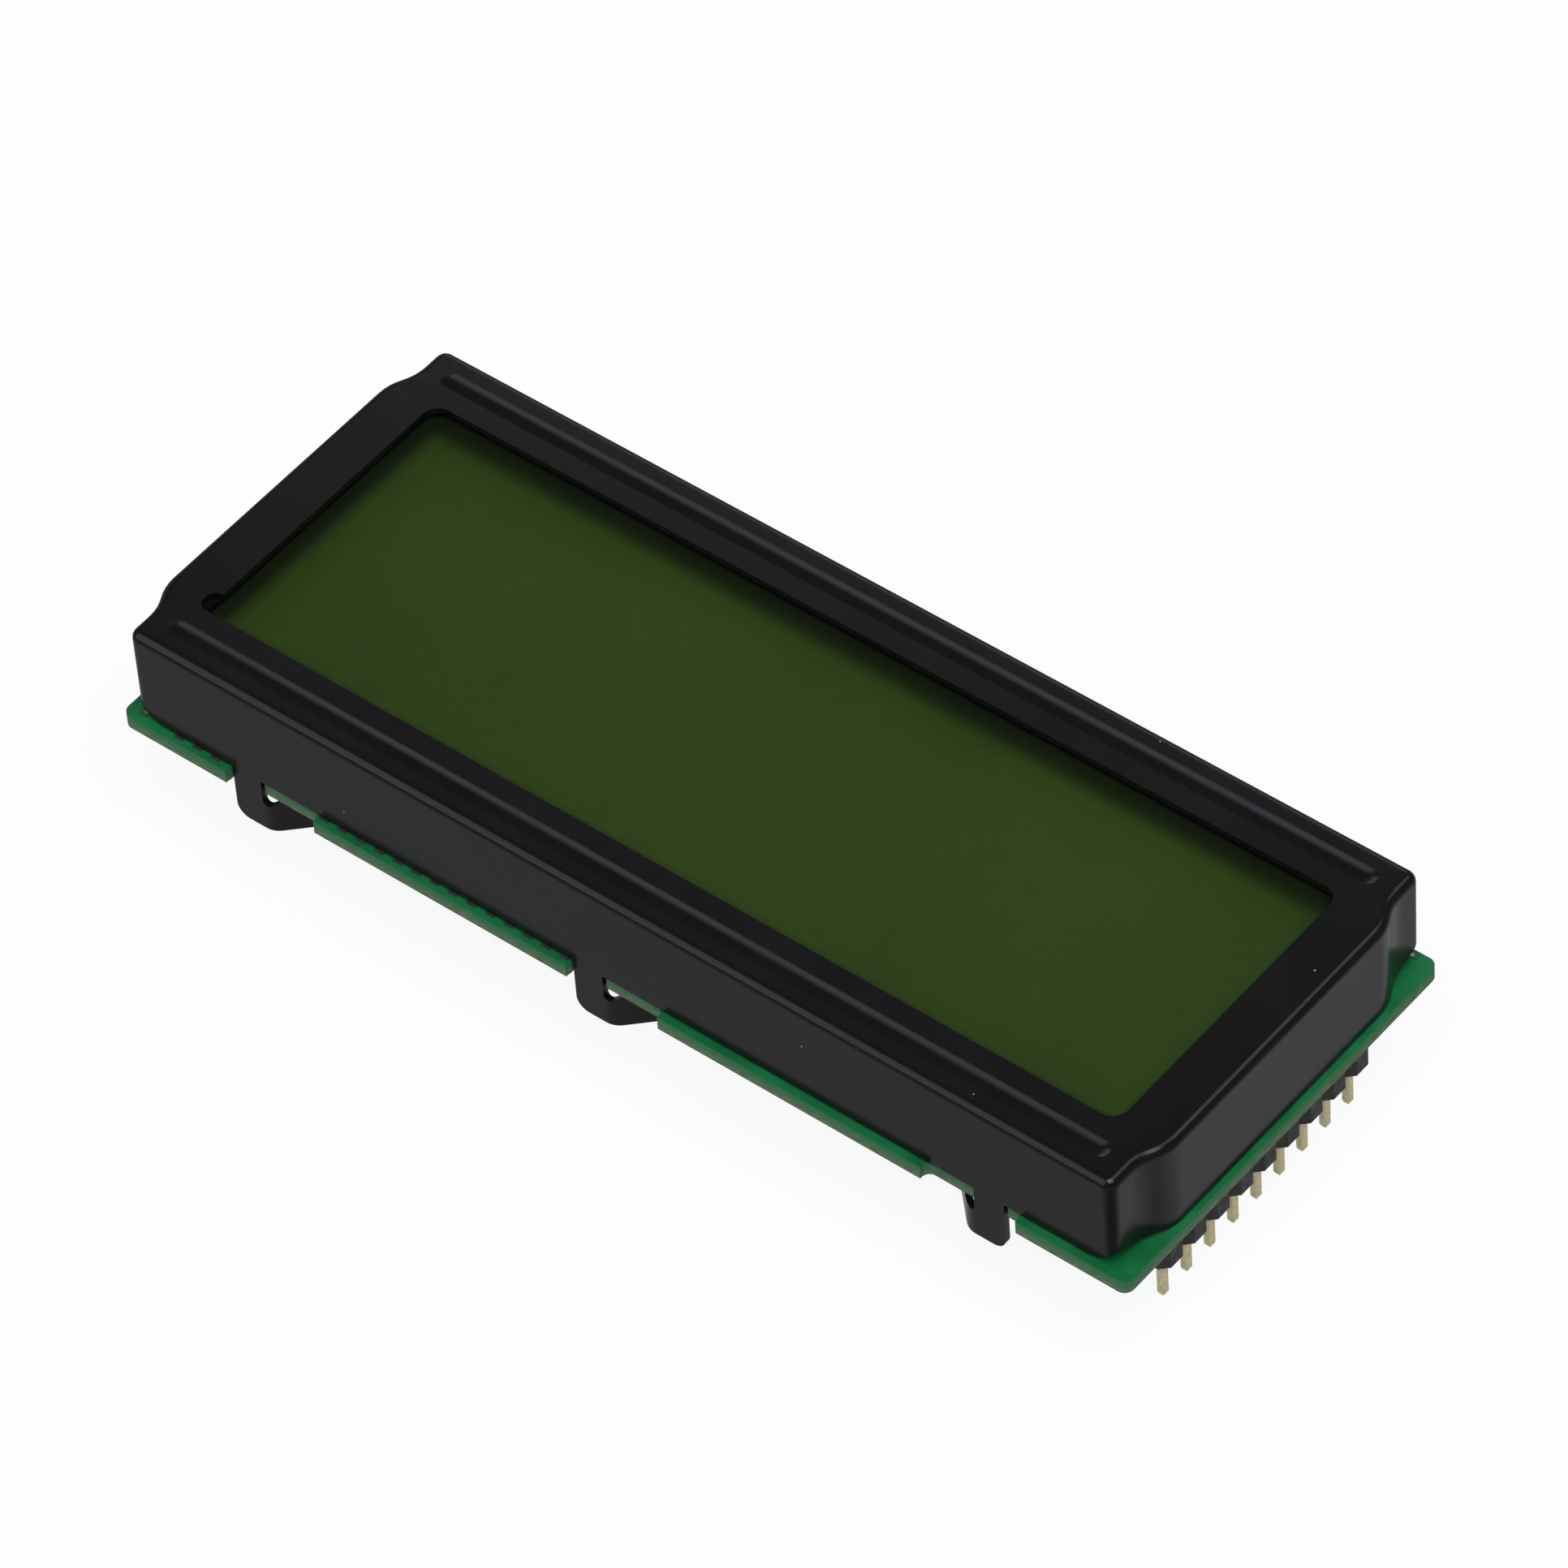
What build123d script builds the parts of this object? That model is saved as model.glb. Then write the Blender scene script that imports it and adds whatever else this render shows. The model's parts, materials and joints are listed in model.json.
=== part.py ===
from build123d import *
import math
import os

# A plug-in character display module: a pressed steel bezel holds the display cell, its backlight
# and two rubber contact strips on a circuit board, and a nine-pin header hangs under each short end.
# Sizes are millimetres. The module lies face up: +Z up, +X along its length, -Y its front side.
# The origin is the middle of the board, at the height of the pin tips.

# Pin headers
pin_pitch = 2.0
pins_per_row = 9
pin_side = 0.5
pin_corner = 0.08
pin_tip_length = 0.22
pin_tip_taper = 28
pin_below_header = 3.2
pin_above_board = 1.0
header_height = 3.5
header_width = 2.0
header_corner = 0.5
pin_gap = 0.02

# Circuit board: each pin row and each outer notch is placed by the length of the board. The notches
# sit a little to the right of even places, and are deeper where a hook's neck goes through.
board_length = 67.5
board_width = 26.8
board_thickness = 0.9
board_corner = 0.6
row_inset = 2.0
notch_width = 6.15
notch_depth = 0.62
notch_inset = 10.3
notch_shift = 0.25
notch_corner = 0.5
neck_gap = 0.12
neck_pocket_corner = 0.15
hole_gap = 0.1
hole_sides = 12
solder_radius = 0.7
solder_height = 0.6
solder_top = 0.05
solder_sides = 10

# Pressed steel bezel: the board stands out beyond it by the two margins on average, as it sits a
# little to the left and to the back on the board. Its window, bulged ends and beads are placed from
# its own outside.
end_margin = 0.15
side_margin = 0.25
bezel_shift_x = -0.15
bezel_shift_y = 0.2
bulge_depth = 0.8
bulge_inset = 4.65
bulge_run = 3.0
bezel_corner = 0.65
sheet = 0.4
bend_radius = 0.55
rim_height = 6.4
wall_foot_gap = 0.12
foot_relief_height = 1.1
foot_relief_side_run = 1.9
foot_relief_end_run = 4.6
foot_relief_flat = 0.1
rim_end = 3.23
rim_side = 3.65
window_corner = 1.0
lobe_reach = 0.63
lobe_width = 1.4
lobe_corner = 0.6
bead_end = 2.3
bead_inset = 1.79
bead_width = 1.16
bead_height = 0.13

# Hook tabs of the bezel, drawn flat and then bent in under the board. An offset is how far the outer
# edge of a neck is from the middle of its notch: the right-hand hook has its own.
hook_neck_width = 1.95
hook_neck_offset = 2.92
last_neck_offset = 2.0
hook_length = 5.8
hook_drop = 2.62
hook_foot_height = 1.82
hook_slot_flat = 0.37
hook_rise_run = 1.1
hook_flat = 1.97
hook_bend_radius = 1.2
hook_bend_angle = 45
hook_corner = 0.8
hook_slot_corner = 0.3
hook_rest_gap = 0.03

# Display cell and its films
display_depth = 0.8
film_thickness = 0.2
film_overlap = 0.15
glass_thickness = 1.1
contact_ledge = 1.7
gasket_gap = 0.05
seal_width = 1.8
seal_reach = 0.35

# Backlight and contact strips
frame_floor = 0.6
frame_end_wall = 0.7
frame_side_wall = 0.45
joint_room = 0.4
light_margin = 0.3
light_end_margin = 0.13
reflector_thickness = 0.2
diffuser_thickness = 0.2
carrier_thickness = 0.5
lamp_depth = 0.8
lamp_width = 3.0
lamp_height = 1.2
lamp_pitch = 6.0
lamps_per_side = 3
strip_width = 1.1
strip_inset = 0.15
strip_end_gap = 0.5
fit_gap = 0.1

# Printed contact pads and plated spots on the board
pad_pitch = 1.27
pad_width = 0.6
pad_thickness = 0.05
long_pad_reach = 0.15
spot_size = 0.5
spot_inset = 0.25

# Parts on the underside of the board
coat_size = 12.0
coat_height = 1.7
coat_rim = 0.5
coat_crown = 1.8
coat_shoulder = 4.3
coat_shoulder_height = 1.25
coat_inset = 20.5
chip_length = 2.0
chip_width = 1.25
chip_cap = 0.35
resistor_height = 0.5
capacitor_height = 0.9
chip_pitch = 3.0
resistor_count = 5
capacitor_count = 4
chip_inset = 5.0

# How far a cutting shape runs past the face that it cuts
past = 1.0

# Heights of the layers, from the pin tips up
header_low = pin_below_header
board_low = header_low + header_height
board_top = board_low + board_thickness
wall_foot = board_top + wall_foot_gap
rim_top = board_top + rim_height
rim_under = rim_top - sheet
film_top = rim_top - display_depth
glass_top = film_top - film_thickness
cell_middle = glass_top - glass_thickness
cell_low = cell_middle - glass_thickness
rear_film_low = cell_low - film_thickness
diffuser_low = rear_film_low - diffuser_thickness
frame_low = board_top + pad_thickness
floor_top = frame_low + frame_floor
guide_low = floor_top + reflector_thickness

# Sizes that follow from the ones above
bezel_length = board_length - 2 * end_margin
bezel_width = board_width - 2 * side_margin
bezel_corner_length = bezel_length - 2 * bulge_depth
window_length = bezel_length - 2 * rim_end
window_width = bezel_width - 2 * rim_side
row_x = board_length / 2 - row_inset
notch_x = board_length / 2 - notch_inset
half_width = bezel_width / 2
frame_length = bezel_corner_length - 2 * (sheet + fit_gap)
frame_width = bezel_width - 2 * (sheet + fit_gap)
glass_length = frame_length - 2 * (frame_end_wall + fit_gap)
front_glass_width = frame_width - 2 * (frame_side_wall + fit_gap)
rear_glass_width = front_glass_width - 2 * contact_ledge
film_length = window_length + 2 * film_overlap
film_width = window_width + 2 * film_overlap
light_length = window_length + 2 * light_end_margin
light_width = window_width + 2 * light_margin
guide_length = light_length - 2 * (fit_gap + carrier_thickness + lamp_depth)
strip_length = light_length - 2 * strip_end_gap
strip_y = front_glass_width / 2 - strip_inset - strip_width / 2
pin_reach = math.hypot(pin_side / 2, pin_side / 2 - pin_corner)
hole_radius = pin_reach + hole_gap
pocket_floor = half_width - sheet - fit_gap / 2
row_half = (pins_per_row - 1) * pin_pitch / 2
pads_per_row = int(strip_length / pad_pitch) + 1


def slab(length, width, low, high, corner=0):
    """A flat block centred on the module, with rounded upright corners if corner is set."""
    if corner > 0:
        plan = RectangleRounded(length, width, corner)
    else:
        plan = Rectangle(length, width)
    return extrude(Plane.XY.offset(low) * plan, amount=high - low)


def block(x, y, length, width, low, high):
    """A box with its middle at x, y."""
    return Pos(x, y, 0) * slab(length, width, low, high)


def four_corners(shape):
    """The shape in the front left corner and its mirror images in the other three."""
    front = shape + mirror(shape, about=Plane.YZ)
    return front + mirror(front, about=Plane.XZ)


def bezel_plan():
    """Outline of the bezel from above: its ends bulge outwards between two S-shaped stretches."""
    corner_x = bezel_corner_length / 2
    middle_x = bezel_length / 2
    inner_y = half_width - bulge_inset
    outer_y = inner_y + bulge_run
    turn = Vector((corner_x + middle_x) / 2, -(inner_y + outer_y) / 2)
    arc = TangentArc(
        (corner_x - bezel_corner, -half_width), (corner_x, bezel_corner - half_width), tangent=(1, 0)
    )
    shoulder = Line(arc @ 1, (corner_x, -outer_y))
    swell = TangentArc(shoulder @ 1, turn, tangent=(0, 1))
    settle = TangentArc(turn, (middle_x, -inner_y), tangent=swell % 1)
    lower = Curve() + [arc, shoulder, swell, settle]
    end = lower + Line((middle_x, -inner_y), (middle_x, inner_y)) + mirror(lower, about=Plane.XZ)
    front = Line((bezel_corner - corner_x, -half_width), (corner_x - bezel_corner, -half_width))
    sides = front + mirror(front, about=Plane.XZ)
    return make_face(end + sides + mirror(end, about=Plane.YZ))


def rounded_tray(plan, top, radius):
    """The plan raised from the wall foot to the given height, with its top edge rounded."""
    body = extrude(Plane.XY.offset(wall_foot) * plan, amount=top - wall_foot)
    return fillet(body.faces().sort_by(Axis.Z)[-1].edges(), radius)


def bead_bar(inset):
    """A long bar with ball ends that lies in the rim: its crown, less the inset, is the pressed bead."""
    crown_radius = (bead_width ** 2 / 4 + bead_height ** 2) / (2 * bead_height)
    radius = crown_radius - inset
    reach = (bezel_length - bead_width) / 2 - bead_end
    bar = Cylinder(radius, 2 * reach, rotation=(0, 90, 0))
    shape = bar + Pos(reach, 0, 0) * Sphere(radius) + Pos(-reach, 0, 0) * Sphere(radius)
    return Pos(0, 0, rim_top + bead_height - crown_radius) * shape


def both_beads(inset, low):
    """The crowns of both beads above a height: inset is how far inside the outer skin they lie."""
    one = bead_bar(inset) & slab(board_length, bezel_width, low, rim_top + bead_height + past)
    y = half_width - bead_inset
    return Pos(0, -y, 0) * one + Pos(0, y, 0) * one


def window_cut():
    """The window, with the small rounded relief beside its front left corner."""
    opening = slab(window_length, window_width, rim_under - past, rim_top + past, window_corner)
    lobe_length = 2 * (lobe_reach + window_corner)
    lobe = slab(lobe_length, lobe_width, rim_under - past, rim_top + past, lobe_corner)
    x = -window_length / 2 - lobe_reach + lobe_length / 2
    y = -window_width / 2 + lobe_width / 2
    return opening + Pos(x, y, 0) * lobe


def foot_relief():
    """What is missing at a lower corner of the wall, where its foot curves upwards."""
    high = wall_foot + foot_relief_height
    low = wall_foot - past
    reach = bezel_length

    def curve(half, run, plane):
        far = half - foot_relief_flat
        start = far - run
        arc = TangentArc((-start, wall_foot), (-far, high), tangent=(-1, 0))
        edge = Polyline(arc @ 1, (-reach, high), (-reach, low), (-start, low), arc @ 0)
        return extrude(plane * make_face(arc + edge), amount=reach, both=True)

    across = curve(bezel_corner_length / 2, foot_relief_side_run, Plane.XZ)
    along = curve(half_width, foot_relief_end_run, Plane.YZ)
    return across & along


def hook():
    """One hook tab at the front wall, the outer edge of its neck at x = 0, pointing to the right."""
    low = board_low - hook_drop
    foot_top = low + hook_foot_height
    middle_y = sheet / 2 - half_width
    flat = Line((0, middle_y), (hook_flat, middle_y))
    bend = JernArc(flat @ 1, (1, 0), hook_bend_radius - sheet / 2, hook_bend_angle)
    tail_length = hook_length - hook_flat - hook_bend_radius * math.radians(hook_bend_angle)
    tail = Line(bend @ 1, bend @ 1 + (bend % 1) * tail_length)
    tall = wall_foot + sheet - low
    strip = Plane(origin=(0, middle_y, low + tall / 2), x_dir=(0, 1, 0), z_dir=(1, 0, 0))
    ribbon = sweep(strip * Rectangle(sheet, tall), path=Wire([flat, bend, tail]))
    tip_x = (tail @ 1).X + sheet
    rise_x = hook_neck_width + hook_slot_flat
    tip_top = board_low - hook_rest_gap
    top = wall_foot + sheet
    outline = Polyline(
        (0, top), (hook_neck_width, top), (hook_neck_width, foot_top), (rise_x, foot_top),
        (rise_x + hook_rise_run, tip_top), (tip_x, tip_top), (tip_x, low), (0, low), close=True
    )
    side = make_face(outline)
    side = fillet(side.vertices().sort_by_distance((0, low))[0], hook_corner)
    side = fillet(side.vertices().sort_by_distance((hook_neck_width, foot_top))[0], hook_slot_corner)
    stencil = extrude(Plane.XZ * side, amount=board_width, both=True)
    return ribbon & stencil


def notch_places():
    """Middles of the notches along a long edge."""
    return [notch_shift + x for x in (-notch_x, 0, notch_x)]


def hook_places():
    """Where the outer edge of each neck is and which way its hook points: the last one looks back."""
    first, middle, last = notch_places()
    return [(first - hook_neck_offset, 1), (middle - hook_neck_offset, 1), (last + last_neck_offset, -1)]


def all_hooks():
    """Three hooks on each long side."""
    one = {1: hook()}
    one[-1] = mirror(one[1], about=Plane.YZ)
    front = Part() + [Pos(x, 0, 0) * one[way] for x, way in hook_places()]
    return front + mirror(front, about=Plane.XZ)


def notch_cuts(grow=0):
    """What the long edges of the board lose to the hooks: shallow notches, deeper behind each neck."""
    low = board_low - past
    high = board_top + past
    notch = slab(notch_width + 2 * grow, 2 * (notch_depth + grow), low, high, notch_corner)
    pocket_width = hook_neck_width + 2 * (neck_gap + grow)
    cuts = Part()
    for side in (-1, 1):
        edge = side * board_width / 2 - bezel_shift_y
        pocket_depth = side * edge - pocket_floor + grow
        pocket = slab(pocket_width, 2 * pocket_depth, low, high, neck_pocket_corner)
        cuts = cuts + [Pos(x, edge, 0) * notch for x in notch_places()]
        cuts = cuts + [Pos(x + way * hook_neck_width / 2, edge, 0) * pocket for x, way in hook_places()]
    return cuts


def make_bezel():
    plan = bezel_plan()
    inside = offset(plan, amount=-sheet)
    shell = rounded_tray(plan, rim_top, bend_radius) - rounded_tray(inside, rim_under, bend_radius - sheet)
    shell = shell + both_beads(0, rim_top - sheet / 2)
    shell = shell - both_beads(sheet, rim_under - sheet / 2)
    shell = shell - window_cut()
    shell = shell - four_corners(foot_relief())
    return shell + all_hooks()


def row_places(x):
    """Middles of the pins of one row."""
    return [Pos(x, i * pin_pitch - row_half, 0) for i in range(pins_per_row)]


def pin_plan(grow=0):
    """Square pin section with coined corners, grown all round by a gap."""
    side = pin_side + 2 * grow
    square = Rectangle(side, side)
    return chamfer(square.vertices(), pin_corner)


def make_board():
    board = slab(board_length, board_width, board_low, board_top, board_corner)
    board = Pos(-bezel_shift_x, -bezel_shift_y, 0) * board - notch_cuts()
    rim = RegularPolygon(hole_radius, hole_sides, major_radius=False)
    hole = extrude(Plane.XY.offset(board_low) * rim, amount=board_thickness)
    for x in (-row_x, row_x):
        for place in row_places(x):
            board = board - place * hole
    return board


def make_header(x):
    """Moulded header body: a row of eight-sided segments, each with a square hole for its pin."""
    segment_plan = chamfer(Rectangle(header_width, pin_pitch).vertices(), header_corner)
    segment = extrude(segment_plan, amount=header_height)
    hole = extrude(pin_plan(pin_gap), amount=header_height)
    segment = Pos(0, 0, header_low) * (segment - hole)
    body = [place * segment for place in row_places(x)]
    return Part() + body


def make_pin():
    """One header pin at x = y = 0, tapered at its free end and cut off above the board."""
    start = Plane.XY.offset(pin_tip_length)
    shaft = extrude(start * pin_plan(), amount=board_top + pin_above_board - pin_tip_length)
    tip = extrude(start * pin_plan(), amount=-pin_tip_length, taper=pin_tip_taper)
    return shaft + tip


def make_solder(x):
    """Solder round the pins of one row: a small many-sided cone on the board, close round each pin."""
    spread = solder_radius - pin_reach - solder_top
    slope = math.degrees(math.atan2(spread, solder_height))
    start = Plane.XY.offset(board_top)
    cone = extrude(start * RegularPolygon(solder_radius, solder_sides), amount=solder_height, taper=slope)
    joint = cone - extrude(start * pin_plan(), amount=solder_height)
    return Compound(children=[place * joint for place in row_places(x)])


def make_frame():
    """White moulded frame: holds the cell, forms the light box and guides the contact strips."""
    frame = slab(frame_length, frame_width, frame_low, glass_top, bezel_corner - sheet - fit_gap)
    room = 2 * fit_gap
    frame = frame - slab(glass_length + room, front_glass_width + room, cell_middle, glass_top + past)
    frame = frame - slab(glass_length + room, rear_glass_width + room, cell_low, cell_middle + past)
    frame = frame - slab(light_length, light_width, floor_top, cell_low + past)
    slot = slab(strip_length + room, strip_width + room, frame_low - past, cell_middle + past)
    frame = frame - Pos(0, strip_y, 0) * slot - Pos(0, -strip_y, 0) * slot
    pocket_depth = frame_length / 2 - (row_x - solder_radius - fit_gap)
    pocket_width = frame_width + past
    pocket_top = board_top + pin_above_board + joint_room
    for side in (-1, 1):
        x = side * (frame_length + past - pocket_depth) / 2
        frame = frame - block(x, 0, pocket_depth + past, pocket_width, frame_low - past, pocket_top)
    seal_depth = 2 * (seal_reach + fit_gap)
    return frame - block(-glass_length / 2, 0, seal_depth, seal_width + room, cell_low, glass_top)


def make_seal():
    """Drop of resin that closes the filling gap at the left end of the cell."""
    radius = (seal_width ** 2 / 4 + seal_reach ** 2) / (2 * seal_reach)
    ball = Pos(radius - seal_reach - glass_length / 2, 0, cell_middle) * Sphere(radius)
    return ball & block(-glass_length / 2 - seal_reach, 0, 2 * seal_reach, bezel_width, cell_low, glass_top)


def make_gasket():
    """Soft ring between the glass and the rim, round the front film."""
    ring = slab(glass_length, front_glass_width, glass_top, rim_under)
    hole = slab(film_length + 2 * gasket_gap, film_width + 2 * gasket_gap, glass_top - past, rim_under + past)
    return ring - hole


def make_carrier(side):
    """Lamp board that stands at one end of the light box."""
    x = side * (light_length / 2 - fit_gap - carrier_thickness / 2)
    return block(x, 0, carrier_thickness, light_width - 2 * fit_gap, floor_top, diffuser_low)


def make_lamps(side):
    """Side-view lamps between a lamp board and the end of the light guide."""
    x = side * (light_length / 2 - fit_gap - carrier_thickness - lamp_depth / 2)
    low = (guide_low + diffuser_low - lamp_height) / 2
    first = -(lamps_per_side - 1) * lamp_pitch / 2
    places = [first + i * lamp_pitch for i in range(lamps_per_side)]
    return Compound(children=[block(x, y, lamp_depth, lamp_width, low, low + lamp_height) for y in places])


def make_strip(side):
    return block(0, side * strip_y, strip_length, strip_width, frame_low, cell_middle)


def make_pads(side):
    """Printed carbon pads under a contact strip: at the front, the left-hand ones run out past the wall."""
    inner = strip_y - strip_width / 2
    cuts = notch_cuts(fit_gap)
    pads = []
    for i in range(pads_per_row):
        x = (i - (pads_per_row - 1) / 2) * pad_pitch
        outer = strip_y + strip_width / 2
        if side < 0 and x < notch_shift - notch_width / 2:
            outer = half_width + long_pad_reach
        pad = block(x, side * (inner + outer) / 2, pad_width, outer - inner, board_top, frame_low)
        pads.extend((pad - cuts).solids())
    return Compound(children=pads)


def make_spots():
    """Small plated spots beside the corners of the bezel."""
    x = bezel_corner_length / 2 - spot_inset
    y = half_width - spot_inset
    return four_corners(block(-x, -y, spot_size, spot_size, board_top, frame_low))


def make_coat(side):
    """Drop of black resin over a bare chip, under the board: a steep rim, a shoulder and a flat crown."""
    half = coat_size / 2
    edge = Polyline(
        (0, 0), (half, 0), (half, -coat_rim), (coat_shoulder, -coat_shoulder_height),
        (coat_crown, -coat_height), (0, -coat_height), close=True
    )
    drop = revolve(Plane.XZ * make_face(edge), axis=Axis.Z)
    return Pos(side * (board_length / 2 - coat_inset), 0, board_low) * drop


def chip_places():
    """Middles and heights of the small parts: resistors along the back, capacitors along the front."""
    places = []
    row_y = board_width / 2 - chip_inset
    for count, height, y in ((resistor_count, resistor_height, row_y),
                             (capacitor_count, capacitor_height, -row_y)):
        first = -(count - 1) * chip_pitch / 2
        places.append([(first + i * chip_pitch, y, height) for i in range(count)])
    return places


def make_chips(places):
    """Ceramic middles of the small parts, long side across the board."""
    length = chip_length - 2 * chip_cap
    return Compound(children=[block(x, y, chip_width, length, board_low - high, board_low)
                              for x, y, high in places])


def make_chip_ends(places):
    """Plated ends of the small parts."""
    reach = (chip_length - chip_cap) / 2
    return Compound(children=[block(x, y + side * reach, chip_width, chip_cap, board_low - high, board_low)
                              for x, y, high in places for side in (-1, 1)])


resistors, capacitors = chip_places()

sheet_length = light_length - 2 * fit_gap
sheet_width = light_width - 2 * fit_gap

nodes = {
    "bezel": make_bezel(),
    "pcb": make_board(),
    "bezel_gasket": make_gasket(),
    "front_polariser": slab(film_length, film_width, glass_top, film_top),
    "front_glass": slab(glass_length, front_glass_width, cell_middle, glass_top),
    "rear_glass": slab(glass_length, rear_glass_width, cell_low, cell_middle),
    "rear_polariser": slab(sheet_length, sheet_width, rear_film_low, cell_low),
    "fill_port_seal": make_seal(),
    "backlight_frame": make_frame(),
    "diffuser_sheet": slab(sheet_length, sheet_width, diffuser_low, rear_film_low),
    "light_guide": slab(guide_length, sheet_width, guide_low, diffuser_low),
    "reflector_sheet": slab(guide_length, sheet_width, floor_top, guide_low),
    "led_carrier_left": make_carrier(-1),
    "led_carrier_right": make_carrier(1),
    "leds_left": make_lamps(-1),
    "leds_right": make_lamps(1),
    "zebra_strip_front": make_strip(-1),
    "zebra_strip_back": make_strip(1),
    "contact_pads_front": make_pads(-1),
    "contact_pads_back": make_pads(1),
    "corner_pads": make_spots(),
    "header_left": make_header(-row_x),
    "header_right": make_header(row_x),
    "solder_left": make_solder(-row_x),
    "solder_right": make_solder(row_x),
    "controller_coat_left": make_coat(-1),
    "controller_coat_right": make_coat(1),
    "chip_resistors": make_chips(resistors),
    "chip_capacitors": make_chips(capacitors),
    "chip_terminals": make_chip_ends(resistors + capacitors),
}

pin = make_pin()
rows = row_places(-row_x) + row_places(row_x)
for number, place in enumerate(rows, start=1):
    nodes[f"pin_{number:02d}"] = place * pin

# All is drawn about the middle of the bezel, and moved here to the middle of the board
centre = Pos(bezel_shift_x, bezel_shift_y, 0)
os.makedirs("parts", exist_ok=True)
for name, shape in nodes.items():
    moved = Compound([centre * solid for solid in shape.solids()])
    export_step(moved, f"parts/{name}.step")
    print(name, round(moved.volume, 3))
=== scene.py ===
import json
import math
import bpy
from mathutils import Matrix, Vector

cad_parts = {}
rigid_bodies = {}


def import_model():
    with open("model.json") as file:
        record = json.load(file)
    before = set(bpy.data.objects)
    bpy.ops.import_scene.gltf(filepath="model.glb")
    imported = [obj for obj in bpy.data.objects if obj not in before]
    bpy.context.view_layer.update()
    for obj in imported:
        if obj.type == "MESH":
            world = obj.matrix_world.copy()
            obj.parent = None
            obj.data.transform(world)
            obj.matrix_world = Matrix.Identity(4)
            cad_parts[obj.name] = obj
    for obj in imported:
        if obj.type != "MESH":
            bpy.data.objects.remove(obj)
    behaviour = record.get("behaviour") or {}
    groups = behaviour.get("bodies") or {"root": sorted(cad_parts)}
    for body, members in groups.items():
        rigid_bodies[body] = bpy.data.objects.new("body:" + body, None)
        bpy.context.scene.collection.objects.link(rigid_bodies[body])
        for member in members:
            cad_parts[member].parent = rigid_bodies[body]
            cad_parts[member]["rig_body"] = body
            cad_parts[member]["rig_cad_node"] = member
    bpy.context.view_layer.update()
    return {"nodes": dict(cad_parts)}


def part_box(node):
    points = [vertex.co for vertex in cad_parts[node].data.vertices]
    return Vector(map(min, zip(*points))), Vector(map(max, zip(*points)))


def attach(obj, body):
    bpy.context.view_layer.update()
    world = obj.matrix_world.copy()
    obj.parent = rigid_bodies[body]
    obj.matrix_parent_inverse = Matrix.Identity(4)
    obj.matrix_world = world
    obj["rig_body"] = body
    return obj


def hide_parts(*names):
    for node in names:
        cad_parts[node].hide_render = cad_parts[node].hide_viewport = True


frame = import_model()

nodes = frame["nodes"]
bpy.ops.object.select_all(action="DESELECT")
print("stage: frame loaded,", len(nodes), "nodes")

# Middle of the bezel seen from above: the camera turns about it, and the finish of the display and of
# the board's corners is laid out from it
bezelLow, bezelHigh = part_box("bezel")
bezelMiddle = ((bezelLow[0] + bezelHigh[0]) / 2, (bezelLow[1] + bezelHigh[1]) / 2, 0.0)

noiseRange = (0.35, 0.65)        # nearly all of a noise texture lies between these
flatRange = (0.4, 0.6)        # how upright a normal is where a flat face ends and a side begins
grainDetail = 3.0        # how many finer layers of noise a grain has
waveFactor = 20        # built into the wave texture


def mm(value):
    return value / 1000


def perMm(size):
    return 1000 / size        # texture scale whose cells are this many millimetres


def perBand(pitch):
    return 2 * math.pi * perMm(pitch) / waveFactor        # wave scale whose bands are this far apart


def fromHex(code):
    parts = [int(code[i:i + 2], 16) / 255 for i in (0, 2, 4)]
    return [p / 12.92 if p <= 0.04045 else ((p + 0.055) / 1.055) ** 2.4 for p in parts] + [1.0]


# Adds a node with its settings and links, and hands on one of its outputs, or the node for None. A
# colour mix has its share at input 0, its colours at 6 and 7, and its result at output 2.
def addNode(tree, kind, inputs=None, take=0, **settings):
    node = tree.nodes.new(kind)
    for name, value in settings.items():
        setattr(node, name, value)
    for name, value in (inputs or {}).items():
        if isinstance(value, bpy.types.NodeSocket):
            tree.links.new(value, node.inputs[name])
        else:
            node.inputs[name].default_value = value
    return node if take is None else node.outputs[take]


def startMaterial(name):
    finish = bpy.data.materials.new(name)
    finish.use_nodes = True
    finish.node_tree.nodes.clear()
    place = addNode(finish.node_tree, "ShaderNodeTexCoord", take="Object")
    return finish, finish.node_tree, place


# Two close shades mottled at a real grain size, with the noise that mixes them
def mottled(tree, place, size, light, dark, detail=2.0):
    noise = addNode(tree, "ShaderNodeTexNoise", {"Vector": place, "Scale": perMm(size), "Detail": detail})
    share = addNode(tree, "ShaderNodeMapRange", {
        "Value": noise, "From Min": noiseRange[0], "From Max": noiseRange[1]})
    colour = addNode(tree, "ShaderNodeMix", {0: share, 6: fromHex(light), 7: fromHex(dark)}, take=2,
                     data_type="RGBA")
    return colour, noise


# 1 on faces that look up or down, 0 on sides
def flatness(tree):
    normal = addNode(tree, "ShaderNodeNewGeometry", take="True Normal")
    height = addNode(tree, "ShaderNodeSeparateXYZ", {"Vector": normal}, take="Z")
    upright = addNode(tree, "ShaderNodeMath", {0: height}, operation="ABSOLUTE")
    return addNode(tree, "ShaderNodeMapRange", {
        "Value": upright, "From Min": flatRange[0], "From Max": flatRange[1]})


# Place from the bezel's middle, as it is and with all four quarters folded onto one
def fromMiddle(tree, place):
    centred = addNode(tree, "ShaderNodeVectorMath", {0: place, 1: bezelMiddle}, operation="SUBTRACT")
    folded = addNode(tree, "ShaderNodeVectorMath", {0: centred}, operation="ABSOLUTE")
    return centred, folded


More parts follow.
